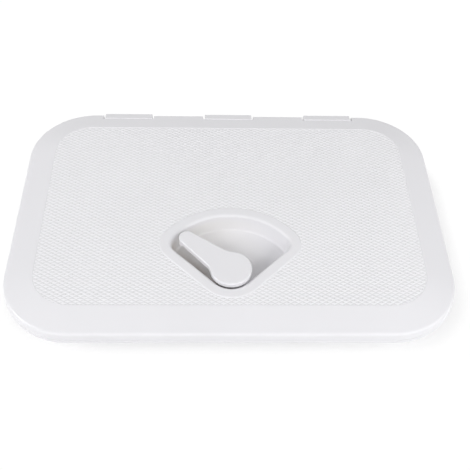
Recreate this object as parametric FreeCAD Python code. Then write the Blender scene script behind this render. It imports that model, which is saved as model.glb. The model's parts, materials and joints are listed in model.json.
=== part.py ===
"""Rectangular deck access hatch: a moulded frame, a hinged lid with a finger well, and a quarter-turn latch.

Millimetres. +X runs along the hinge side, +Y points to the hinges and +Z is up. The origin is the centre
of the deck opening on the deck plane, the underside of the frame's flange. The lid is closed and the
lever is parked on the left, with the latch tongue turned away from its catch.
"""

import FreeCAD
import Part

import math
import os

Vector = FreeCAD.Vector
UP = Vector(0, 0, 1)
ALONG_X = Vector(1, 0, 0)

# Lid moulding
LID_LENGTH = 375.0
LID_WIDTH = 260.0
LID_CORNER_R = 58.0
LID_TOP_Z = 17.0
LID_WALL = 3.0
BORDER_WIDTH = 24.4
BORDER_DROP = 5.6
BORDER_EDGE_R = 2.7
BORDER_INNER_R = 1.0
SKIRT_GAP = 0.2
SKIRT_EDGE_R = 0.15
FIELD_DEPTH = 0.4
FIELD_STEP = 0.8

# Finger well in the lid, a fan round the lever's hub
HUB_INSET = 60.0
WELL_APEX_R = 18.7
WELL_ARC_R = 60.7
WELL_CORNER_R = 11.0
WELL_SIDE_ANGLE = 45.0
WELL_DEPTH = 15.5
WELL_DRAFT = 3.0
WELL_WALL = 2.5
WELL_RIM_R = 3.0
WELL_FLOOR_R = 2.0
CASING_EDGE_R = 3.0
RING_WIDTH = 9.8
RING_HEIGHT = 0.7
RING_DRAFT = 1.2
RING_EDGE_R = 1.5

# Lever and its spindle
LEVER_PARK_ANGLE = 138.5
LEVER_RISE = 3.8
LEVER_THICKNESS = 4.5
LEVER_HUB_R = 17.3
LEVER_REACH = 56.5
LEVER_TIP_R = 6.9
LEVER_TAPER = 7.0
LEVER_BLEND_R = 14.0
LEVER_EDGE_R = 1.2
LEVER_LIP_DEPTH = 2.2
LEVER_LIP_WALL = 2.4
NECK_R = 11.5
NECK_CLEARANCE = 0.3
SPINDLE_R = 6.0
SPINDLE_CLEARANCE = 0.05
SPINDLE_SQUARE = 8.4
SPINDLE_BOSS_R = 10.5
SPINDLE_BOSS_HEIGHT = 6.0
O_RING_SECTION_R = 0.75

# Latch under the well
STACK_CLEARANCE = 0.1
THRUST_WASHER_R = 10.5
THRUST_WASHER_THICKNESS = 1.2
TONGUE_HUB_R = 10.0
TONGUE_WIDTH = 14.0
TONGUE_TIP_GAP = 1.5
TONGUE_THICKNESS = 4.5
TONGUE_RAMP_LENGTH = 5.0
TONGUE_RAMP_DROP = 1.5
TONGUE_WASHER_R = 7.0
TONGUE_WASHER_THICKNESS = 1.0
SCREW_SHANK_R = 2.5
SCREW_LENGTH = 13.0
SCREW_END_GAP = 1.0
SCREW_HEAD_R = 4.6
SCREW_HEAD_HEIGHT = 3.0
SCREW_HEAD_EDGE_R = 1.6
SCREW_SOCKET_ACROSS = 3.0
SCREW_SOCKET_DEPTH = 1.8

# Frame moulding
FLANGE_OVERHANG = 0.15
FLANGE_THICKNESS = 3.0
FLANGE_EDGE_R = 0.2
COLLAR_INSET = 30.0
COLLAR_WALL = 3.0
COLLAR_TOP_Z = 10.0
COLLAR_DEPTH = 25.0
COLLAR_EDGE_R = 0.8
COLLAR_ROOT_R = 1.5
DECK_SCREW_HOLE_R = 2.4
COUNTERSINK_R = 4.6
COUNTERSINK_DEPTH = 2.2
CORNER_HOLE_INSET_X = 27.5
CORNER_HOLE_INSET_Y = 27.0
SIDE_HOLE_INSET = 14.0
LONG_SIDE_HOLE_X = 50.0
SHORT_SIDE_HOLE_Y = 35.0
CATCH_WIDTH = 44.0
CATCH_REACH = 6.0
CATCH_THICKNESS = 3.0
CATCH_CLEARANCE = 0.3
CATCH_LEAD_IN = 1.2
GUSSET_HEIGHT = 7.0
GUSSET_THICKNESS = 2.5

# Hinge
HINGE_INSET = 3.5
HINGE_Z = 7.6
KNUCKLE_R = 6.8
KNUCKLE_WIDTH = 46.6
KNUCKLE_RISE = 0.6
KNUCKLE_OVERHANG = 1.4
KNUCKLE_EDGE_R = 0.8
KNUCKLE_PITCH = 98.5
KNUCKLE_SIDE_GAP = 1.6
KNUCKLE_FRONT_GAP = 0.4
EAR_THICKNESS = 6.0
NOTCH_WALL = 2.5
HINGE_PIN_R = 2.0
HINGE_PIN_CLEARANCE = 0.05
HINGE_PIN_END_INSET = 0.9

# Seal between lid and collar, and the ribs under the lid
SEAL_WIDTH = 5.0
SEAL_GAP = 0.3
SEAL_EDGE_R = 1.0
SEAL_RIB_GAP = 0.5
SEAL_RIB_WALL = 1.5
SEAL_RIB_HEIGHT = 2.7
RIB_THICKNESS = 2.0
RIB_HEIGHT = 5.0
LONG_RIB_Y = (12.0, 52.0)
CROSS_RIB_X = (-118.0, -72.0, 0.0, 72.0, 118.0)

# How far a cutting tool runs past what it cuts, and a joined piece into its neighbour
OVERRUN = 1.0
# Points closer than this count as one
SAME_PLACE = 1e-4

# Places that follow from the sizes above
HUB_Y = HUB_INSET - LID_WIDTH / 2
FIELD_Z = LID_TOP_Z - FIELD_DEPTH
PLATE_BOTTOM_Z = FIELD_Z - LID_WALL
BORDER_EDGE_Z = LID_TOP_Z - BORDER_DROP
BORDER_SLOPE = BORDER_DROP / BORDER_WIDTH
SKIRT_Z = FLANGE_THICKNESS + SKIRT_GAP
WELL_FLOOR_Z = LID_TOP_Z - WELL_DEPTH
RING_Z = FIELD_Z + RING_HEIGHT
CASING_BOTTOM_Z = WELL_FLOOR_Z - WELL_WALL
BOSS_BOTTOM_Z = CASING_BOTTOM_Z - SPINDLE_BOSS_HEIGHT
O_RING_Z = CASING_BOTTOM_Z - SPINDLE_BOSS_HEIGHT / 2
TONGUE_TOP_Z = BOSS_BOTTOM_Z - THRUST_WASHER_THICKNESS - STACK_CLEARANCE
TONGUE_BOTTOM_Z = TONGUE_TOP_Z - TONGUE_THICKNESS
SCREW_SEAT_Z = TONGUE_BOTTOM_Z - TONGUE_WASHER_THICKNESS
SCREW_END_Z = SCREW_SEAT_Z + SCREW_LENGTH
LEVER_TOP_Z = LID_TOP_Z + LEVER_RISE
LEVER_BOTTOM_Z = LEVER_TOP_Z - LEVER_THICKNESS
COLLAR_INNER_INSET = COLLAR_INSET + COLLAR_WALL
COLLAR_FACE_Y = LID_WIDTH / 2 - COLLAR_INNER_INSET
TONGUE_REACH = HUB_INSET - COLLAR_INNER_INSET - TONGUE_TIP_GAP
CATCH_BOTTOM_Z = TONGUE_TOP_Z + CATCH_CLEARANCE
CATCH_TOP_Z = CATCH_BOTTOM_Z + CATCH_THICKNESS
HINGE_Y = LID_WIDTH / 2 - HINGE_INSET
NOTCH_R = KNUCKLE_R + KNUCKLE_FRONT_GAP
NOTCH_HALF = KNUCKLE_WIDTH / 2 + KNUCKLE_SIDE_GAP
EAR_END = NOTCH_HALF + EAR_THICKNESS
EAR_SWING_R = HINGE_Z - SKIRT_Z
KNUCKLES = {"left": -KNUCKLE_PITCH, "centre": 0.0, "right": KNUCKLE_PITCH}
SEAL_INSET = COLLAR_INSET + (COLLAR_WALL - SEAL_WIDTH) / 2
SEAL_INNER_INSET = SEAL_INSET + SEAL_WIDTH
RIB_AREA_INSET = SEAL_INNER_INSET + SEAL_RIB_GAP + SEAL_RIB_WALL


def direction(degrees):
    return Vector(math.cos(math.radians(degrees)), math.sin(math.radians(degrees)), 0)


def arc_step(centre, radius, start, end):
    """A convex arc of an outline, from one angle to another, anticlockwise."""
    return {"centre": centre, "radius": radius, "start": start, "end": end}


def line_step(start, end):
    """A straight stretch of an outline. The outside is on its right."""
    along = (end - start).normalize()
    return {"from": start, "to": end, "out": Vector(along.y, -along.x, 0)}


def lid_outline():
    """The lid's outer outline in plan: a rectangle with rounded corners."""
    cx = LID_LENGTH / 2 - LID_CORNER_R
    cy = LID_WIDTH / 2 - LID_CORNER_R
    steps = []
    for sx, sy, start in ((1, -1, 270), (1, 1, 0), (-1, 1, 90), (-1, -1, 180)):
        centre = Vector(sx * cx, sy * cy, 0)
        steps.append(arc_step(centre, LID_CORNER_R, start, start + 90))
    return joined_by_lines(steps)


def well_outline():
    """The well's rim in plan: an arc round the hub, two straight sides and a wide arc with rounded ends."""
    hub = Vector(0, HUB_Y, 0)
    low = WELL_APEX_R - WELL_CORNER_R
    far = WELL_ARC_R - WELL_CORNER_R
    turn = WELL_SIDE_ANGLE - math.degrees(math.asin(low / far))
    right = hub + direction(turn) * far
    left = hub + direction(180 - turn) * far
    side = WELL_SIDE_ANGLE - 90
    steps = [
        arc_step(hub, WELL_APEX_R, 180 - side, 360 + side),
        arc_step(right, WELL_CORNER_R, side, turn),
        arc_step(hub, WELL_ARC_R, turn, 180 - turn),
        arc_step(left, WELL_CORNER_R, 180 - turn, 180 - side),
    ]
    return joined_by_lines(steps)


def joined_by_lines(arcs):
    """Adds the straight stretch between each arc and the next, where there is one."""
    steps = []
    for arc, following in zip(arcs, arcs[1:] + arcs[:1]):
        steps.append(arc)
        end = arc["centre"] + direction(arc["end"]) * arc["radius"]
        start = following["centre"] + direction(following["start"]) * following["radius"]
        if (start - end).Length > SAME_PLACE:
            steps.append(line_step(end, start))
    return steps


def rounded_wire(corners, place):
    """A closed wire through (across, z, radius) corners, put in space by place(across, z)."""
    edges = []
    last = None
    first = None
    count = len(corners)
    for i, (across, z, radius) in enumerate(corners):
        corner = place(across, z)
        before = place(*corners[i - 1][:2])
        after = place(*corners[(i + 1) % count][:2])
        if radius:
            back = (before - corner).normalize()
            ahead = (after - corner).normalize()
            half = back.getAngle(ahead) / 2
            cut = radius / math.tan(half)
            middle = corner + (back + ahead).normalize() * (radius / math.sin(half) - radius)
            start, end = corner + back * cut, corner + ahead * cut
        else:
            start = end = corner
        if last is None:
            first = start
        elif (start - last).Length > SAME_PLACE:
            edges.append(Part.LineSegment(last, start).toShape())
        if radius:
            edges.append(Part.Arc(start, middle, end).toShape())
        last = end
    if (first - last).Length > SAME_PLACE:
        edges.append(Part.LineSegment(last, first).toShape())
    return Part.Wire(edges)


def swept(outline, corners):
    """A solid band that follows an outline. Its section's corners are (outward offset, z, radius)."""
    pieces = []
    for step in outline:
        if "centre" in step:
            out = direction(step["start"])
            base = step["centre"] + out * step["radius"]
        else:
            out = step["out"]
            base = step["from"]
        face = Part.Face(rounded_wire(corners, lambda across, z: base + out * across + UP * z))
        if "centre" in step:
            pieces.append(face.revolve(step["centre"], UP, step["end"] - step["start"]))
        else:
            pieces.append(face.extrude(step["to"] - step["from"]))
    return pieces[0].fuse(pieces[1:]).removeSplitter()


def filled(outline, offset, z0, z1):
    """The solid inside an outline moved outwards by offset, between two heights."""
    edges = []
    for step in outline:
        if "centre" in step:
            radius = step["radius"] + offset
            angles = (step["start"], (step["start"] + step["end"]) / 2, step["end"])
            points = [step["centre"] + direction(angle) * radius + UP * z0 for angle in angles]
            edges.append(Part.Arc(*points).toShape())
        else:
            shift = step["out"] * offset + UP * z0
            edges.append(Part.LineSegment(step["from"] + shift, step["to"] + shift).toShape())
    return Part.Face(Part.Wire(edges)).extrude(UP * (z1 - z0))


def box(x0, x1, y0, y1, z0, z1):
    return Part.makeBox(x1 - x0, y1 - y0, z1 - z0, Vector(x0, y0, z0))


def cylinder(radius, z0, z1, x=0.0, y=0.0):
    return Part.makeCylinder(radius, z1 - z0, Vector(x, y, z0), UP)


def rod(radius, x0, x1):
    """A cylinder on the hinge axis."""
    return Part.makeCylinder(radius, x1 - x0, Vector(x0, HINGE_Y, HINGE_Z), ALONG_X)


def slab_along_x(points, x0, x1):
    """A prism along X from a closed list of (y, z) points."""
    wire = Part.makePolygon([Vector(x0, y, z) for y, z in points + points[:1]])
    return Part.Face(wire).extrude(ALONG_X * (x1 - x0))


def lid_border():
    """The lid's skirt, rounded edge, sloping border and the rim of its sunken field."""
    under_z = BORDER_EDGE_Z - LID_WALL + BORDER_SLOPE * LID_WALL
    meet = LID_WALL + (PLATE_BOTTOM_Z - under_z) / BORDER_SLOPE
    inner = BORDER_WIDTH + LID_WALL
    return [
        (0, SKIRT_Z, SKIRT_EDGE_R),
        (0, BORDER_EDGE_Z, BORDER_EDGE_R),
        (-BORDER_WIDTH, LID_TOP_Z, 0),
        (-BORDER_WIDTH - FIELD_STEP, FIELD_Z, 0),
        (-inner, FIELD_Z, 0),
        (-inner, PLATE_BOTTOM_Z, 0),
        (-meet, PLATE_BOTTOM_Z, 0),
        (-LID_WALL, under_z, BORDER_INNER_R),
        (-LID_WALL, SKIRT_Z, 0),
    ]


def well_section():
    """The well's raised ring, rounded rim, leaning wall and rounded foot, with the outside of its casing."""
    lean = WELL_DRAFT / (RING_Z - WELL_FLOOR_Z)
    wall = WELL_WALL * math.sqrt(1 + lean**2)
    casing_top = wall - lean * (RING_Z - PLATE_BOTTOM_Z)
    casing_foot = wall - lean * (RING_Z - CASING_BOTTOM_Z)
    return [
        (RING_WIDTH, FIELD_Z, 0),
        (RING_WIDTH - RING_DRAFT, RING_Z, RING_EDGE_R),
        (0, RING_Z, WELL_RIM_R),
        (-WELL_DRAFT, WELL_FLOOR_Z, WELL_FLOOR_R),
        (-well_floor_inset(), WELL_FLOOR_Z, 0),
        (-well_floor_inset(), CASING_BOTTOM_Z, 0),
        (casing_foot, CASING_BOTTOM_Z, CASING_EDGE_R),
        (casing_top, PLATE_BOTTOM_Z, 0),
        (RING_WIDTH, PLATE_BOTTOM_Z, 0),
    ]


def well_floor_inset():
    """How far the flat floor lies inside the well's rim."""
    return WELL_DRAFT + WELL_FLOOR_R


def seal_ribs():
    """The two low walls under the lid that keep the seal in place."""
    outline = lid_outline()
    low = PLATE_BOTTOM_Z - SEAL_RIB_HEIGHT
    walls = []
    for outer in (SEAL_INSET - SEAL_RIB_GAP - SEAL_RIB_WALL, SEAL_INNER_INSET + SEAL_RIB_GAP):
        wall = filled(outline, -outer, low, PLATE_BOTTOM_Z)
        walls.append(wall.cut(filled(outline, -outer - SEAL_RIB_WALL, low, PLATE_BOTTOM_Z)))
    return walls


def stiffening_ribs():
    """The ribs under the plate, inside the seal and up to the well's casing."""
    low = PLATE_BOTTOM_Z - RIB_HEIGHT
    x_end = LID_LENGTH / 2
    y_end = LID_WIDTH / 2
    half = RIB_THICKNESS / 2
    ribs = [box(-x_end, x_end, y - half, y + half, low, PLATE_BOTTOM_Z) for y in LONG_RIB_Y]
    ribs += [box(x - half, x + half, -y_end, y_end, low, PLATE_BOTTOM_Z) for x in CROSS_RIB_X]
    grid = ribs[0].fuse(ribs[1:])
    area = filled(lid_outline(), SEAL_RIB_WALL / 2 - RIB_AREA_INSET, low, PLATE_BOTTOM_Z)
    return grid.common(area).cut(filled(well_outline(), 0, low - OVERRUN, PLATE_BOTTOM_Z + OVERRUN))


def hinge_block(centre, outside):
    """The thick stretch of the lid's back edge that holds a knuckle's notch and the two ears."""
    front = HINGE_Y - NOTCH_R - NOTCH_WALL
    block = box(centre - EAR_END, centre + EAR_END, front, LID_WIDTH, SKIRT_Z, LID_TOP_Z)
    return block.common(outside)


def notch(centre):
    """The space that the lid leaves round a knuckle, open to the back and below."""
    x0, x1 = centre - NOTCH_HALF, centre + NOTCH_HALF
    front = HINGE_Y - NOTCH_R
    low = box(x0, x1, front, LID_WIDTH, SKIRT_Z - OVERRUN, HINGE_Z)
    high = box(x0, x1, HINGE_Y, LID_WIDTH, HINGE_Z, LID_TOP_Z)
    return rod(NOTCH_R, x0, x1).fuse([low, high])


def swing_relief():
    """What the back edge loses below the hinge axis, so that it clears the flange as the lid opens."""
    half = LID_LENGTH / 2
    corner = box(-half, half, HINGE_Y, LID_WIDTH, SKIRT_Z - OVERRUN, HINGE_Z)
    return corner.cut(rod(EAR_SWING_R, -half, half))


def lid():
    """The lid, one moulding: plate, border, skirt, well, seal ribs, stiffening ribs and hinge ears."""
    outline = lid_outline()
    rim = well_outline()
    plate = filled(outline, -BORDER_WIDTH - LID_WALL, PLATE_BOTTOM_Z, FIELD_Z)
    plate = plate.cut(filled(rim, RING_WIDTH, PLATE_BOTTOM_Z, FIELD_Z))
    floor = filled(rim, -well_floor_inset(), CASING_BOTTOM_Z, WELL_FLOOR_Z)
    boss = cylinder(SPINDLE_BOSS_R, BOSS_BOTTOM_Z, CASING_BOTTOM_Z, y=HUB_Y)
    border = lid_border()
    outside = swept(outline, border[:4] + [(-BORDER_WIDTH - FIELD_STEP, SKIRT_Z, 0)])
    parts = [plate, swept(rim, well_section()), floor, boss, stiffening_ribs()] + seal_ribs()
    parts += [hinge_block(centre, outside) for centre in KNUCKLES.values()]
    body = swept(outline, border).fuse(parts)
    cuts = [notch(centre) for centre in KNUCKLES.values()]
    reach = EAR_END + OVERRUN
    cuts += [rod(HINGE_PIN_R, centre - reach, centre + reach) for centre in KNUCKLES.values()]
    cuts.append(swing_relief())
    bore_r = SPINDLE_R + SPINDLE_CLEARANCE
    cuts.append(cylinder(bore_r, BOSS_BOTTOM_Z - OVERRUN, WELL_FLOOR_Z + OVERRUN, y=HUB_Y))
    return body.cut(cuts).removeSplitter()


def lid_seal():
    """The soft seal under the lid, just above the collar's edge."""
    bottom = COLLAR_TOP_Z + SEAL_GAP
    corners = [
        (-SEAL_INSET, bottom, SEAL_EDGE_R),
        (-SEAL_INSET, PLATE_BOTTOM_Z, 0),
        (-SEAL_INNER_INSET, PLATE_BOTTOM_Z, 0),
        (-SEAL_INNER_INSET, bottom, SEAL_EDGE_R),
    ]
    return swept(lid_outline(), corners)


def frame_ring():
    """The frame's flange and collar."""
    corners = [
        (FLANGE_OVERHANG, 0, 0),
        (FLANGE_OVERHANG, FLANGE_THICKNESS, FLANGE_EDGE_R),
        (-COLLAR_INSET, FLANGE_THICKNESS, COLLAR_ROOT_R),
        (-COLLAR_INSET, COLLAR_TOP_Z, COLLAR_EDGE_R),
        (-COLLAR_INNER_INSET, COLLAR_TOP_Z, COLLAR_EDGE_R),
        (-COLLAR_INNER_INSET, -COLLAR_DEPTH, COLLAR_EDGE_R),
        (-COLLAR_INSET, -COLLAR_DEPTH, COLLAR_EDGE_R),
        (-COLLAR_INSET, 0, 0),
    ]
    return swept(lid_outline(), corners)


def border_height(y, rise):
    """The height of the border's slope at the back of the lid, raised by rise."""
    return LID_TOP_Z - BORDER_SLOPE * (y - LID_WIDTH / 2 + BORDER_WIDTH) + rise


def knuckle(centre):
    """One hinge knuckle: a barrel on the flange's back edge, its top flat and in line with the border."""
    x0, x1 = centre - KNUCKLE_WIDTH / 2, centre + KNUCKLE_WIDTH / 2
    front = HINGE_Y - KNUCKLE_R
    back = LID_WIDTH / 2 + KNUCKLE_OVERHANG
    foot = box(x0, x1, front, back, 0, HINGE_Z)
    envelope = [
        (front, 0),
        (back, 0),
        (back, border_height(back, KNUCKLE_RISE)),
        (front, border_height(front, KNUCKLE_RISE)),
    ]
    block = rod(KNUCKLE_R, x0, x1).fuse(foot).common(slab_along_x(envelope, x0, x1)).removeSplitter()
    return block.makeFillet(KNUCKLE_EDGE_R, top_edges(block))


def top_edges(block):
    """The edges of a knuckle above the hinge axis, apart from those that only touch its level."""
    return [edge for edge in block.Edges if edge.BoundBox.ZMax > HINGE_Z + KNUCKLE_EDGE_R]


def catch():
    """The ledge inside the collar that the tongue turns under, with the gussets above it."""
    half = CATCH_WIDTH / 2
    back = -COLLAR_FACE_Y - COLLAR_WALL / 2
    tip = -COLLAR_FACE_Y + CATCH_REACH
    ledge = [
        (back, CATCH_BOTTOM_Z),
        (tip - CATCH_LEAD_IN, CATCH_BOTTOM_Z),
        (tip, CATCH_BOTTOM_Z + CATCH_LEAD_IN),
        (tip, CATCH_TOP_Z),
        (back, CATCH_TOP_Z),
    ]
    gusset = [
        (back, CATCH_TOP_Z),
        (tip - CATCH_LEAD_IN, CATCH_TOP_Z),
        (-COLLAR_FACE_Y, CATCH_TOP_Z + GUSSET_HEIGHT),
        (back, CATCH_TOP_Z + GUSSET_HEIGHT),
    ]
    solids = [slab_along_x(ledge, -half, half)]
    for x in (-half, -GUSSET_THICKNESS / 2, half - GUSSET_THICKNESS):
        solids.append(slab_along_x(gusset, x, x + GUSSET_THICKNESS))
    return solids


def deck_screw_places():
    """The centres of the frame's twelve screw holes, in three rectangles of four."""
    x_edge = LID_LENGTH / 2
    y_edge = LID_WIDTH / 2
    rectangles = (
        (x_edge - CORNER_HOLE_INSET_X, y_edge - CORNER_HOLE_INSET_Y),
        (LONG_SIDE_HOLE_X, y_edge - SIDE_HOLE_INSET),
        (x_edge - SIDE_HOLE_INSET, SHORT_SIDE_HOLE_Y),
    )
    return [(sx * x, sy * y) for x, y in rectangles for sx in (-1, 1) for sy in (-1, 1)]


def frame():
    """The frame, one moulding: flange, collar, catch and hinge knuckles."""
    parts = catch() + [knuckle(centre) for centre in KNUCKLES.values()]
    body = frame_ring().fuse(parts)
    cuts = []
    for x, y in deck_screw_places():
        cuts.append(cylinder(DECK_SCREW_HOLE_R, -OVERRUN, FLANGE_THICKNESS + OVERRUN, x=x, y=y))
        seat = Vector(x, y, FLANGE_THICKNESS - COUNTERSINK_DEPTH)
        cuts.append(Part.makeCone(DECK_SCREW_HOLE_R, COUNTERSINK_R, COUNTERSINK_DEPTH, seat, UP))
    reach = KNUCKLE_WIDTH / 2 + OVERRUN
    for centre in KNUCKLES.values():
        cuts.append(rod(HINGE_PIN_R + HINGE_PIN_CLEARANCE, centre - reach, centre + reach))
    return body.cut(cuts).removeSplitter()


def hinge_pin(centre):
    """A plain pin through one knuckle and the two ears beside it."""
    half = EAR_END - HINGE_PIN_END_INSET
    return rod(HINGE_PIN_R, centre - half, centre + half)


def lever_outline():
    """The lever in plan, hub at the origin and arm along +X, as a closed wire."""
    taper = math.radians(LEVER_TAPER)
    tip = Vector(LEVER_REACH - LEVER_TIP_R, 0, 0)
    normal = Vector(math.sin(taper), math.cos(taper), 0)
    along = Vector(math.cos(taper), -math.sin(taper), 0)
    blend_offset = tip.x * math.sin(taper) + LEVER_TIP_R + LEVER_BLEND_R
    blend_reach = math.sqrt((LEVER_HUB_R + LEVER_BLEND_R) ** 2 - blend_offset**2)
    blend = normal * blend_offset + along * blend_reach
    to_hub = (blend * -1).normalize()
    points = {
        "tip": tip + normal * LEVER_TIP_R,
        "arm": blend - normal * LEVER_BLEND_R,
        "bend": blend + (to_hub - normal).normalize() * LEVER_BLEND_R,
        "hub": blend + to_hub * LEVER_BLEND_R,
    }
    mirrored = {name: Vector(p.x, -p.y, p.z) for name, p in points.items()}
    return Part.Wire(
        [
            Part.Arc(mirrored["tip"], Vector(LEVER_REACH, 0, 0), points["tip"]).toShape(),
            Part.LineSegment(points["tip"], points["arm"]).toShape(),
            Part.Arc(points["arm"], points["bend"], points["hub"]).toShape(),
            Part.Arc(points["hub"], Vector(-LEVER_HUB_R, 0, 0), mirrored["hub"]).toShape(),
            Part.Arc(mirrored["hub"], mirrored["bend"], mirrored["arm"]).toShape(),
            Part.LineSegment(mirrored["arm"], mirrored["tip"]).toShape(),
        ]
    )


def at_hub(shape, angle=0.0):
    """Turns a shape made round the Z axis and moves it to the lever's hub."""
    shape.rotate(Vector(0, 0, 0), UP, angle)
    shape.translate(Vector(0, HUB_Y, 0))
    return shape


def edges_at(shape, z):
    """The edges that lie in the horizontal plane at height z."""
    level = []
    for edge in shape.Edges:
        bounds = edge.BoundBox
        if max(abs(bounds.ZMin - z), abs(bounds.ZMax - z)) < SAME_PLACE:
            level.append(edge)
    return level


def square_bar(across, z0, z1):
    return box(-across / 2, across / 2, -across / 2, across / 2, z0, z1)


def lever_lip():
    """The lip that turns down round the lever's tip, for the fingers."""
    x = LEVER_REACH - LEVER_TIP_R
    low = LEVER_BOTTOM_Z - LEVER_LIP_DEPTH
    lip = cylinder(LEVER_TIP_R, low, LEVER_BOTTOM_Z + OVERRUN, x=x)
    lip = lip.cut(cylinder(LEVER_TIP_R - LEVER_LIP_WALL, low, LEVER_BOTTOM_Z, x=x))
    return lip.cut(box(0, x, -LEVER_TIP_R, LEVER_TIP_R, low, LEVER_BOTTOM_Z))


def handle_lever():
    """The lever with its neck, round spindle with the seal's groove, and square end."""
    plate = Part.Face(lever_outline()).extrude(UP * LEVER_THICKNESS)
    plate.translate(UP * LEVER_BOTTOM_Z)
    plate = plate.makeFillet(LEVER_EDGE_R, edges_at(plate, LEVER_TOP_Z))
    neck_z = WELL_FLOOR_Z + NECK_CLEARANCE
    neck = cylinder(NECK_R, neck_z, LEVER_BOTTOM_Z + OVERRUN)
    shoulder_z = TONGUE_TOP_Z + STACK_CLEARANCE
    spindle = cylinder(SPINDLE_R, shoulder_z, neck_z + OVERRUN)
    groove_r = SPINDLE_R - 2 * O_RING_SECTION_R
    groove = cylinder(SPINDLE_R + OVERRUN, O_RING_Z - O_RING_SECTION_R, O_RING_Z + O_RING_SECTION_R)
    spindle = spindle.cut(groove.cut(cylinder(groove_r, BOSS_BOTTOM_Z, WELL_FLOOR_Z)))
    square = square_bar(SPINDLE_SQUARE, TONGUE_BOTTOM_Z + STACK_CLEARANCE, shoulder_z)
    square.rotate(Vector(0, 0, 0), UP, -LEVER_PARK_ANGLE)
    bore = cylinder(SCREW_SHANK_R, TONGUE_BOTTOM_Z, SCREW_END_Z + SCREW_END_GAP)
    solid = plate.fuse([lever_lip(), neck, spindle, square]).cut(bore).removeSplitter()
    return at_hub(solid, LEVER_PARK_ANGLE)


def spindle_o_ring():
    """The round-section ring in the spindle's groove."""
    ring = Part.makeTorus(SPINDLE_R - O_RING_SECTION_R, O_RING_SECTION_R)
    ring.translate(UP * O_RING_Z)
    return at_hub(ring)


def ring_washer(outer, inner, z0, z1):
    return at_hub(cylinder(outer, z0, z1).cut(cylinder(inner, z0, z1)))


def latch_tongue():
    """The tongue on the spindle's square end, with a ramp on the upper side of its tip."""
    hub = cylinder(TONGUE_HUB_R, TONGUE_BOTTOM_Z, TONGUE_TOP_Z)
    half = TONGUE_WIDTH / 2
    arm = box(0, TONGUE_REACH, -half, half, TONGUE_BOTTOM_Z, TONGUE_TOP_Z)
    arm = arm.common(cylinder(TONGUE_REACH, TONGUE_BOTTOM_Z, TONGUE_TOP_Z))
    corners = [
        Vector(TONGUE_REACH - TONGUE_RAMP_LENGTH, -half, TONGUE_TOP_Z),
        Vector(TONGUE_REACH, -half, TONGUE_TOP_Z - TONGUE_RAMP_DROP),
        Vector(TONGUE_REACH, -half, TONGUE_TOP_Z),
    ]
    ramp = Part.Face(Part.makePolygon(corners + corners[:1])).extrude(Vector(0, TONGUE_WIDTH, 0))
    hole = square_bar(SPINDLE_SQUARE + 2 * STACK_CLEARANCE, TONGUE_BOTTOM_Z, TONGUE_TOP_Z)
    return at_hub(hub.fuse(arm).cut([ramp, hole]).removeSplitter())


def tongue_screw():
    """The round-headed socket screw that holds the tongue on the spindle."""
    bottom = SCREW_SEAT_Z - SCREW_HEAD_HEIGHT
    shank = cylinder(SCREW_SHANK_R, SCREW_SEAT_Z, SCREW_END_Z)
    head = cylinder(SCREW_HEAD_R, bottom, SCREW_SEAT_Z)
    head = head.makeFillet(SCREW_HEAD_EDGE_R, edges_at(head, bottom))
    corner_r = SCREW_SOCKET_ACROSS / math.sqrt(3)
    corners = [direction(60 * i) * corner_r + UP * bottom for i in range(7)]
    socket = Part.Face(Part.makePolygon(corners)).extrude(UP * SCREW_SOCKET_DEPTH)
    return at_hub(shank.fuse(head).cut(socket).removeSplitter())


def write(name, shape):
    if len(shape.Solids) != 1 or not shape.isValid():
        raise ValueError(name + " isn't one valid solid")
    print(name, "volume", round(shape.Volume), "faces", len(shape.Faces))
    shape.Solids[0].exportStep(os.path.join("parts", name + ".step"))


def main():
    os.makedirs("parts", exist_ok=True)
    write("frame", frame())
    write("lid", lid())
    write("lid_seal", lid_seal())
    for name, centre in KNUCKLES.items():
        write("hinge_pin_" + name, hinge_pin(centre))
    write("handle_lever", handle_lever())
    write("spindle_o_ring", spindle_o_ring())
    washer_top = BOSS_BOTTOM_Z - STACK_CLEARANCE / 2
    washer_hole = SPINDLE_R + STACK_CLEARANCE
    washer_bottom = washer_top - THRUST_WASHER_THICKNESS
    write("thrust_washer", ring_washer(THRUST_WASHER_R, washer_hole, washer_bottom, washer_top))
    write("latch_tongue", latch_tongue())
    write("tongue_washer", ring_washer(TONGUE_WASHER_R, SCREW_SHANK_R, SCREW_SEAT_Z, TONGUE_BOTTOM_Z))
    write("tongue_screw", tongue_screw())


main()
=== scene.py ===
"""Access hatch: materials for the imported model, the diamond field on its lid, the floor, lights and camera.

Lengths in the named sizes are millimetres in the model's own frame, and MM turns them into metres.
Colours are linear, and a noise scale is in features per metre.
"""

import json
import math

import bmesh
import bpy
from mathutils import Matrix, Vector


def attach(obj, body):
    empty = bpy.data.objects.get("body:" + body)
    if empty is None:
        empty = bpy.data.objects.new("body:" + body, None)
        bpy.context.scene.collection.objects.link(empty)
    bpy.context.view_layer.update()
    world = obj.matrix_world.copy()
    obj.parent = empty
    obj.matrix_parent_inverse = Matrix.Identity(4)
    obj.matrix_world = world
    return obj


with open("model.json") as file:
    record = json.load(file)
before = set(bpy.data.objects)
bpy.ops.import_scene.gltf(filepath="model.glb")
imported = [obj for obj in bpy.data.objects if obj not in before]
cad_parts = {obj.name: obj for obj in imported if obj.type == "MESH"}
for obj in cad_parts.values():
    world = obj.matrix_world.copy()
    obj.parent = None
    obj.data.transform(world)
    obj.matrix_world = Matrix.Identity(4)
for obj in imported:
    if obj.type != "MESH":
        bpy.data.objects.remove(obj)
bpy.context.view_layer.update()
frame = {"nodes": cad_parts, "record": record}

MM = 0.001

# Lid sizes that the diamond field fits
LID_LENGTH = 375.0
LID_WIDTH = 260.0
LID_CORNER_R = 58.0
FIELD_Z = 16.6
FIELD_INSET = 24.9

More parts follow.
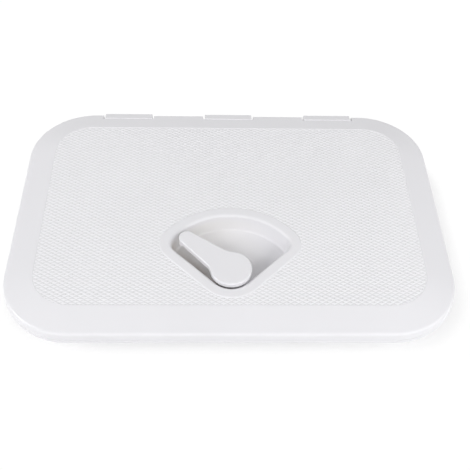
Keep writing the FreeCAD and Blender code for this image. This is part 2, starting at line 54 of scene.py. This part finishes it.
# Finger well in plan, a fan round the hub, and the plain ring round it
HUB_Y = -70.0
WELL_APEX_R = 18.7
WELL_ARC_R = 60.7
WELL_CORNER_R = 11.0
WELL_SIDE_ANGLE = 45.0
RING_REACH = 9.4
ARC_STEPS = 24

# Diamonds: cells in a centred lattice, each a flat-topped pyramid, cut out of a slab
DIAMOND_LENGTH = 6.37
DIAMOND_WIDTH = 3.69
DIAMOND_HEIGHT = 0.38
DIAMOND_TOP = 0.3
VALLEY_RISE = 0.02
SLAB_SINK = 0.3
FIELD_CUT_REACH = 2.0
RING_CUT_REACH = 3.0

# Colours
WHITE = (0.806, 0.8012, 0.826)
FIELD_WHITE = (0.862, 0.858, 0.881)
BLACK = (0.03, 0.03, 0.032)
RUBBER_DARK = (0.02, 0.02, 0.021)
RUBBER_LIGHT = (0.045, 0.045, 0.047)
STEEL = (0.72, 0.72, 0.73)

# Noise: the values between which it moves a colour or a number, and its scales
NOISE_LOW = 0.3
NOISE_HIGH = 0.7
CLOUD_SCALE = 9
GLOSS_SCALE = 60
GRAIN_SCALE = 1800
RUBBER_CLOUD_SCALE = 70
RUBBER_GRAIN_SCALE = 1500
TURNING_SCALE = 400
TURNING_STRETCH = (12, 1, 1)
# Noise scale of the painted shade in the grooves between the diamonds
GROOVE_SHADE_SCALE = 25
# Noise scale of the painted shade left of the parked lever
GAP_SHADE_SCALE = 260

# Gloss
LID_ROUGHNESS = 0.34
FIELD_ROUGHNESS = 0.5
LEVER_ROUGHNESS = 0.22
BLACK_ROUGHNESS = 0.5
RUBBER_ROUGHNESS = 0.75
STEEL_ROUGHNESS = (0.22, 0.42)

# Bump heights in metres
PLASTIC_GRAIN = 0.00002
BLACK_GRAIN = 0.00006
RUBBER_GRAIN = 0.00008
TURNING_MARKS = 0.00002

# Painted shade in the grooves between the diamonds, broken up by noise: full at VALLEY_RISE over the field,
# none from the reach set below upwards
GROOVE_SHADE_REACH = 0.16
GROOVE_SHADE_TINT = (0.8, 0.798, 0.795)
GROOVE_SHADE_LEAST = 0.85

# Painted warm shade down in the finger well, and darker painted shade left of the parked lever, broken up by
# noise
WELL_SHADE_TINT = (1.0, 0.992, 0.955)
GAP_SHADE_TINT = (0.72, 0.68, 0.64)
GAP_SHADE_LEAST = 0.55

# Where they lie. Each pair is where there is nothing of it and where it is full: heights, distances past the
# well's arc, apex and left side, places from right to left, and distances to the left of the parked lever.
BELOW_RIM = (16.5, 10.0)
ABOVE_UNDERSIDE = (-0.5, 0.5)
PAST_ARC = (1.8, 0.8)
PAST_APEX = (2.0, 1.0)
PAST_SIDE = (0.8, 0.4)
WARM_FROM_RIGHT = (35.0, -25.0)
LEFT_OF_LEVER = (3.0, 10.0)

# Direction in plan across the parked lever, towards its left
ACROSS_LEVER = (-0.663, -0.749)

# Floor: a rounded patch under the object keeps its shadow, and past it the floor is pure white
FLOOR_Z = -25.0
FLOOR_SIZE = 8000.0
FLOOR_COLOR = (0.9, 0.9, 0.9)
FLOOR_WHITE = 1.02
FLOOR_LIFT = 0.115
SHADE_CENTRE = (7.0, 0.0)
SHADE_HALF = (140.0, 60.0)
SHADE_NEAR = 47.0
SHADE_FAR = 67.0

# Light: the surround's strength, and soft boxes aimed at the origin, with place, size and power in watts
AMBIENT = 0.457
LIGHTS = {
    "left": ((-1200, -300, 700), (600, 600), 8.1),
    "right": ((1200, -300, 700), (600, 600), 4.1),
    "front_right": ((800, -900, 700), (600, 500), 4.0),
    "front_low": ((0, -1300, 700), (900, 500), 3.6),
    "back_low": ((0, 1200, 500), (900, 300), 0.6),
}

# Camera, fitted to the photograph
CAMERA_PLACE = (-17.37, -467.31, 525.59)
CAMERA_RIGHT = (0.99948652, -0.01754564, 0.02681118)
CAMERA_UP = (-0.00411449, 0.75954563, 0.65044102)
CAMERA_BACK = (-0.03177672, -0.65021735, 0.75908342)
CAMERA_LENS = 59.65
CAMERA_CLIP = (0.01, 50)
SENSOR = 36.0


def arc(centre, radius, start, end):
    """Points along an arc, anticlockwise, angles in degrees."""
    points = []
    for i in range(ARC_STEPS + 1):
        angle = math.radians(start + (end - start) * i / ARC_STEPS)
        points.append((centre[0] + radius * math.cos(angle), centre[1] + radius * math.sin(angle)))
    return points


def field_outline():
    """The sunken field's outline: the lid's, moved inwards."""
    radius = LID_CORNER_R - FIELD_INSET
    cx = LID_LENGTH / 2 - LID_CORNER_R
    cy = LID_WIDTH / 2 - LID_CORNER_R
    points = []
    for sx, sy, start in ((1, -1, 270), (1, 1, 0), (-1, 1, 90), (-1, -1, 180)):
        points += arc((sx * cx, sy * cy), radius, start, start + 90)
    return points


def ring_outline():
    """The outer edge of the plain ring: the well's fan, moved outwards."""
    far = WELL_ARC_R - WELL_CORNER_R
    turn = WELL_SIDE_ANGLE - math.degrees(math.asin((WELL_APEX_R - WELL_CORNER_R) / far))
    side = WELL_SIDE_ANGLE - 90
    corner_x = far * math.cos(math.radians(turn))
    corner_y = HUB_Y + far * math.sin(math.radians(turn))
    corner_r = WELL_CORNER_R + RING_REACH
    points = arc((0, HUB_Y), WELL_APEX_R + RING_REACH, 180 - side, 360 + side)
    points += arc((corner_x, corner_y), corner_r, side, turn)
    points += arc((0, HUB_Y), WELL_ARC_R + RING_REACH, turn, 180 - turn)
    points += arc((-corner_x, corner_y), corner_r, 180 - turn, 180 - side)
    return points


def new_object(name, bm):
    """A linked object from a bmesh, which is freed."""
    mesh = bpy.data.meshes.new(name)
    bm.to_mesh(mesh)
    bm.free()
    obj = bpy.data.objects.new(name, mesh)
    bpy.context.scene.collection.objects.link(obj)
    return obj


def prism(name, outline, reach):
    """A closed upright solid over an outline, as far below the field as above it."""
    bm = bmesh.new()
    low, high = FIELD_Z - reach, FIELD_Z + reach
    bottom = [bm.verts.new((x * MM, y * MM, low * MM)) for x, y in outline]
    top = [bm.verts.new((x * MM, y * MM, high * MM)) for x, y in outline]
    bm.faces.new(list(reversed(bottom)))
    bm.faces.new(top)
    count = len(outline)
    for i in range(count):
        j = (i + 1) % count
        bm.faces.new((bottom[i], bottom[j], top[j], top[i]))
    return new_object(name, bm)


def diamond_slab():
    """A closed slab whose upper side is the lattice of flat-topped pyramids, larger than the field."""
    half_x, half_y = DIAMOND_LENGTH / 2, DIAMOND_WIDTH / 2
    columns = math.ceil(LID_LENGTH / DIAMOND_LENGTH) + 1
    rows = math.ceil(LID_WIDTH / DIAMOND_WIDTH) + 1
    low = (FIELD_Z - SLAB_SINK) * MM
    valley = (FIELD_Z + VALLEY_RISE) * MM
    peak = (FIELD_Z + DIAMOND_HEIGHT) * MM
    bm = bmesh.new()
    corners = {}

    def corner(i, j):
        if (i, j) not in corners:
            corners[i, j] = bm.verts.new((i * half_x * MM, j * half_y * MM, valley))
        return corners[i, j]

    for i in range(-columns, columns + 1):
        for j in range(-rows, rows + 1):
            if (i + j) % 2:
                continue
            base = [corner(a, b) for a, b in ((i + 1, j), (i, j + 1), (i - 1, j), (i, j - 1))]
            middle = Vector((i * half_x * MM, j * half_y * MM, 0))
            crown = []
            for vert in base:
                place = middle.lerp(Vector((vert.co.x, vert.co.y, 0)), DIAMOND_TOP)
                crown.append(bm.verts.new((place.x, place.y, peak)))
            for k in range(4):
                n = (k + 1) % 4
                bm.faces.new((base[k], base[n], crown[n], crown[k]))
            bm.faces.new(crown)
    rim = [edge for edge in bm.edges if len(edge.link_faces) == 1]
    skirt = bmesh.ops.extrude_edge_only(bm, edges=rim)["geom"]
    for item in skirt:
        if isinstance(item, bmesh.types.BMVert):
            item.co.z = low
    open_edges = [edge for edge in bm.edges if len(edge.link_faces) == 1]
    bmesh.ops.contextual_create(bm, geom=open_edges)
    bmesh.ops.recalc_face_normals(bm, faces=bm.faces)
    return new_object("diamond_field", bm)


def cut_with(obj, tool, operation):
    """Applies an exact boolean with the tool, and removes the tool."""
    modifier = obj.modifiers.new("cut", "BOOLEAN")
    modifier.operation = operation
    modifier.solver = "EXACT"
    modifier.object = tool
    bpy.context.view_layer.update()
    evaluated = obj.evaluated_get(bpy.context.evaluated_depsgraph_get())
    mesh = bpy.data.meshes.new_from_object(evaluated)
    obj.modifiers.clear()
    obj.data = mesh
    bpy.data.objects.remove(tool)


def make_diamond_field():
    """The raised diamonds on the lid's sunken field, clear of the ring round the well."""
    slab = diamond_slab()
    cut_with(slab, prism("field_cutter", field_outline(), FIELD_CUT_REACH), "INTERSECT")
    cut_with(slab, prism("ring_cutter", ring_outline(), RING_CUT_REACH), "DIFFERENCE")
    slab.data.name = "diamond_field"
    slab.data.materials.append(field_plastic())
    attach(slab, "lid_body")


def put(tree, socket, value):
    """Sets a socket to a number, or links an output to it."""
    if isinstance(value, (int, float)):
        socket.default_value = value
    else:
        tree.links.new(value, socket)


def math_node(tree, operation, first, second=0):
    """A math node on two values, each an output or a number."""
    node = tree.nodes.new("ShaderNodeMath")
    node.operation = operation
    put(tree, node.inputs[0], first)
    put(tree, node.inputs[1], second)
    return node.outputs[0]


def product(tree, *values):
    """The values multiplied together."""
    result = values[0]
    for value in values[1:]:
        result = math_node(tree, "MULTIPLY", result, value)
    return result


def length(tree, x, y):
    """The length of a vector in the plane."""
    squares = [product(tree, value, value) for value in (x, y)]
    return math_node(tree, "POWER", math_node(tree, "ADD", *squares), 0.5)


def map_range(tree, source, start, end, low, high):
    """Moves a value from start to end onto low to high, and no further."""
    node = tree.nodes.new("ShaderNodeMapRange")
    for name, value in (("From Min", start), ("From Max", end), ("To Min", low), ("To Max", high)):
        node.inputs[name].default_value = value
    tree.links.new(source, node.inputs["Value"])
    return node.outputs["Result"]


def spread(tree, source, low, high):
    """A number between low and high, by the noise."""
    return map_range(tree, source, NOISE_LOW, NOISE_HIGH, low, high)


def fade(tree, source, none, full):
    """0 where the source, in metres, is at none, and 1 where it is at full, both in millimetres."""
    return map_range(tree, source, none * MM, full * MM, 0, 1)


def object_place(tree):
    """The object coordinates X, Y and Z."""
    place = tree.nodes.new("ShaderNodeTexCoord")
    split = tree.nodes.new("ShaderNodeSeparateXYZ")
    tree.links.new(place.outputs["Object"], split.inputs[0])
    return split.outputs


def noise(tree, scale, detail=3.0, roughness=0.5, stretch=None):
    """Noise in object coordinates."""
    place = tree.nodes.new("ShaderNodeTexCoord")
    node = tree.nodes.new("ShaderNodeTexNoise")
    node.inputs["Scale"].default_value = scale
    node.inputs["Detail"].default_value = detail
    node.inputs["Roughness"].default_value = roughness
    source = place.outputs["Object"]
    if stretch:
        mapping = tree.nodes.new("ShaderNodeMapping")
        mapping.inputs["Scale"].default_value = stretch
        tree.links.new(source, mapping.inputs["Vector"])
        source = mapping.outputs["Vector"]
    tree.links.new(source, node.inputs["Vector"])
    return node.outputs["Fac"]


def ramp(tree, source, low, high):
    """A colour between low and high, by the noise."""
    node = tree.nodes.new("ShaderNodeValToRGB")
    ends = node.color_ramp.elements
    for end, position, color in ((ends[0], NOISE_LOW, low), (ends[1], NOISE_HIGH, high)):
        end.position = position
        end.color = (*color, 1)
    tree.links.new(source, node.inputs["Fac"])
    return node.outputs["Color"]


def bump(tree, shader, source, height):
    """Bump of that height in metres on the shader's normal."""
    node = tree.nodes.new("ShaderNodeBump")
    node.inputs["Distance"].default_value = height
    tree.links.new(source, node.inputs["Height"])
    tree.links.new(node.outputs["Normal"], shader.inputs["Normal"])


def color_socket(sockets, name):
    """The colour socket of that name. A mix node has one of each kind."""
    return next(socket for socket in sockets if socket.name == name and socket.type == "RGBA")


def tint(tree, shader, color, amount):
    """Multiplies the shader's colour by another, by an amount that is an output from 0 to 1."""
    base = shader.inputs["Base Color"]
    node = tree.nodes.new("ShaderNodeMix")
    node.data_type = "RGBA"
    node.blend_type = "MULTIPLY"
    tree.links.new(base.links[0].from_socket, color_socket(node.inputs, "A"))
    color_socket(node.inputs, "B").default_value = (*color, 1)
    tree.links.new(amount, node.inputs["Factor"])
    tree.links.new(color_socket(node.outputs, "Result"), base)


def material(name, color, roughness):
    """A node material, with its tree and its Principled shader."""
    mat = bpy.data.materials.new(name)
    mat.use_nodes = True
    shader = mat.node_tree.nodes["Principled BSDF"]
    shader.inputs["Base Color"].default_value = (*color, 1)
    shader.inputs["Roughness"].default_value = roughness
    return mat, mat.node_tree, shader


def moulded_plastic(name, color, roughness, drift=0.012, grain=PLASTIC_GRAIN, unevenness=0.04):
    """Moulded plastic: faint cloudy colour, uneven gloss and the fine grain of the mould."""
    mat, tree, shader = material(name, color, roughness)
    darker = tuple(c * (1 - drift) for c in color)
    lighter = tuple(min(1, c * (1 + drift)) for c in color)
    tree.links.new(ramp(tree, noise(tree, CLOUD_SCALE), darker, lighter), shader.inputs["Base Color"])
    gloss = spread(tree, noise(tree, GLOSS_SCALE), roughness - unevenness, roughness + unevenness)
    tree.links.new(gloss, shader.inputs["Roughness"])
    bump(tree, shader, noise(tree, GRAIN_SCALE, detail=2), grain)
    return mat, tree, shader


def field_plastic():
    """The lid's plastic on the diamonds, lighter than the lid's white, with painted shade in the grooves
    between them.
    """
    mat, tree, shader = moulded_plastic("white_plastic_diamonds", FIELD_WHITE, FIELD_ROUGHNESS)
    z = object_place(tree)["Z"]
    # Painted shade: darker in the grooves between the diamonds, patchy by noise
    groove_shade = fade(tree, z, FIELD_Z + GROOVE_SHADE_REACH, FIELD_Z + VALLEY_RISE)
    patchy_shade = spread(tree, noise(tree, GROOVE_SHADE_SCALE), GROOVE_SHADE_LEAST, 1)
    tint(tree, shader, GROOVE_SHADE_TINT, product(tree, groove_shade, patchy_shade))
    return mat


def lid_plastic():
    """The lid's moulded plastic, with painted warm shade down in the well and darker painted shade left of
    the lever.
    """
    mat, tree, shader = moulded_plastic("white_plastic_lid", WHITE, LID_ROUGHNESS)
    x, y, z = object_place(tree)
    y = math_node(tree, "SUBTRACT", y, HUB_Y * MM)
    reach = length(tree, x, y)
    to_left = product(tree, math_node(tree, "ADD", x, y), -math.sqrt(0.5))
    in_well = product(
        tree,
        fade(tree, reach, *(WELL_ARC_R + past for past in PAST_ARC)),
        fade(tree, z, *BELOW_RIM),
        fade(tree, z, *ABOVE_UNDERSIDE),
        fade(tree, y, *(-WELL_APEX_R - past for past in PAST_APEX)),
        fade(tree, to_left, *(WELL_APEX_R + past for past in PAST_SIDE)),
    )
    across = [product(tree, value, share) for value, share in zip((x, y), ACROSS_LEVER)]
    left = fade(tree, math_node(tree, "ADD", *across), *LEFT_OF_LEVER)
    patchy_shade = spread(tree, noise(tree, GAP_SHADE_SCALE, detail=5, roughness=0.6), GAP_SHADE_LEAST, 1)
    # Painted warm shade down in the well, stronger towards the left
    tint(tree, shader, WELL_SHADE_TINT, product(tree, in_well, fade(tree, x, *WARM_FROM_RIGHT)))
    # Painted shade in the gap left of the parked lever, broken up by noise
    tint(tree, shader, GAP_SHADE_TINT, product(tree, left, in_well, patchy_shade))
    return mat


def frame_plastic():
    """The frame's moulded plastic."""
    return moulded_plastic("white_plastic_frame", WHITE, LID_ROUGHNESS)[0]


def lever_plastic():
    """The lever's plastic, smoother than the lid's."""
    return moulded_plastic("white_plastic_lever", WHITE, LEVER_ROUGHNESS, drift=0.006, unevenness=0.01)[0]


def latch_plastic():
    """Black plastic with a coarser grain."""
    return moulded_plastic("black_plastic", BLACK, BLACK_ROUGHNESS, drift=0.2, grain=BLACK_GRAIN)[0]


def seal_rubber():
    """Matt black rubber, mottled and finely pitted."""
    mat, tree, shader = material("rubber", BLACK, RUBBER_ROUGHNESS)
    clouds = noise(tree, RUBBER_CLOUD_SCALE)
    tree.links.new(ramp(tree, clouds, RUBBER_DARK, RUBBER_LIGHT), shader.inputs["Base Color"])
    bump(tree, shader, noise(tree, RUBBER_GRAIN_SCALE), RUBBER_GRAIN)
    return mat


def stainless():
    """Stainless steel with fine turning marks."""
    mat, tree, shader = material("stainless_steel", STEEL, STEEL_ROUGHNESS[0])
    shader.inputs["Metallic"].default_value = 1
    marks = noise(tree, TURNING_SCALE, detail=2, stretch=TURNING_STRETCH)
    tree.links.new(spread(tree, marks, *STEEL_ROUGHNESS), shader.inputs["Roughness"])
    bump(tree, shader, marks, TURNING_MARKS)
    return mat


def dress_nodes():
    """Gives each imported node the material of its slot."""
    made = {
        "frame_plastic": frame_plastic(),
        "lid_plastic": lid_plastic(),
        "lever_plastic": lever_plastic(),
        "latch_plastic": latch_plastic(),
        "seal_rubber": seal_rubber(),
        "stainless": stainless(),
    }
    for part in frame["record"]["subparts"]:
        materials = frame["nodes"][part["node"]].data.materials
        materials.clear()
        materials.append(made[part["material_slot"]])


def seen_ray(tree):
    """1 for what the camera, a reflection or a transmission sees, and 0 for the light on a surface."""
    path = tree.nodes.new("ShaderNodeLightPath").outputs
    seen = math_node(tree, "MAXIMUM", path["Is Camera Ray"], path["Is Glossy Ray"])
    return math_node(tree, "MAXIMUM", seen, path["Is Transmission Ray"])


def away_from_object(tree):
    """0 on the floor under and close to the object, rising to 1 a little way off."""
    beyond = []
    for place, centre, half in zip(object_place(tree), SHADE_CENTRE, SHADE_HALF):
        across = math_node(tree, "ABSOLUTE", math_node(tree, "SUBTRACT", place, centre * MM))
        beyond.append(math_node(tree, "MAXIMUM", math_node(tree, "SUBTRACT", across, half * MM)))
    return fade(tree, length(tree, *beyond), SHADE_NEAR, SHADE_FAR)


def glow(tree, strength):
    """A white emission. Its strength is a number or an output."""
    node = tree.nodes.new("ShaderNodeEmission")
    node.inputs["Color"].default_value = (1, 1, 1, 1)
    put(tree, node.inputs["Strength"], strength)
    return node.outputs[0]


def make_floor():
    """A white floor that keeps the object's shadow and shows as pure white away from it."""
    bm = bmesh.new()
    half = FLOOR_SIZE / 2 * MM
    corners = ((-half, -half), (half, -half), (half, half), (-half, half))
    bm.faces.new([bm.verts.new((x, y, FLOOR_Z * MM)) for x, y in corners])
    floor = new_object("floor", bm)
    mat = bpy.data.materials.new("floor_white")
    mat.use_nodes = True
    tree = mat.node_tree
    tree.nodes.remove(tree.nodes["Principled BSDF"])
    diffuse = tree.nodes.new("ShaderNodeBsdfDiffuse")
    diffuse.inputs["Color"].default_value = (*FLOOR_COLOR, 1)
    seen = seen_ray(tree)
    shaded = tree.nodes.new("ShaderNodeAddShader")
    tree.links.new(diffuse.outputs[0], shaded.inputs[0])
    tree.links.new(glow(tree, product(tree, seen, FLOOR_LIFT)), shaded.inputs[1])
    mix = tree.nodes.new("ShaderNodeMixShader")
    tree.links.new(product(tree, seen, away_from_object(tree)), mix.inputs[0])
    tree.links.new(shaded.outputs[0], mix.inputs[1])
    tree.links.new(glow(tree, FLOOR_WHITE), mix.inputs[2])
    tree.links.new(mix.outputs[0], tree.nodes["Material Output"].inputs["Surface"])
    floor.data.materials.append(mat)


def make_world():
    """An even white surround: plain white to the eye, softer as light."""
    world = bpy.data.worlds.new("studio")
    bpy.context.scene.world = world
    world.use_nodes = True
    tree = world.node_tree
    sky = tree.nodes["Background"]
    sky.inputs["Color"].default_value = (1, 1, 1, 1)
    strength = map_range(tree, seen_ray(tree), 0, 1, AMBIENT, 1)
    tree.links.new(strength, sky.inputs["Strength"])


def make_lights():
    """The soft boxes, all aimed at the origin."""
    for name, (place, size, power) in LIGHTS.items():
        data = bpy.data.lights.new(name, "AREA")
        data.shape = "RECTANGLE"
        data.size, data.size_y = size[0] * MM, size[1] * MM
        data.energy = power
        light = bpy.data.objects.new(name, data)
        bpy.context.scene.collection.objects.link(light)
        light.location = Vector(place) * MM
        light.rotation_mode = "QUATERNION"
        light.rotation_quaternion = Vector(place).to_track_quat("Z", "Y")


def make_camera():
    """The camera at the photograph's place, lens and tilt."""
    data = bpy.data.cameras.new("camera")
    data.lens = CAMERA_LENS
    data.sensor_width = SENSOR
    data.sensor_fit = "HORIZONTAL"
    data.clip_start, data.clip_end = CAMERA_CLIP
    camera = bpy.data.objects.new("camera", data)
    bpy.context.scene.collection.objects.link(camera)
    turn = Matrix((CAMERA_RIGHT, CAMERA_UP, CAMERA_BACK)).transposed()
    camera.matrix_world = Matrix.Translation(Vector(CAMERA_PLACE) * MM) @ turn.to_4x4()
    bpy.context.scene.camera = camera


dress_nodes()
make_diamond_field()
make_floor()
make_world()
make_lights()
make_camera()
bpy.context.scene.view_settings.view_transform = "Standard"
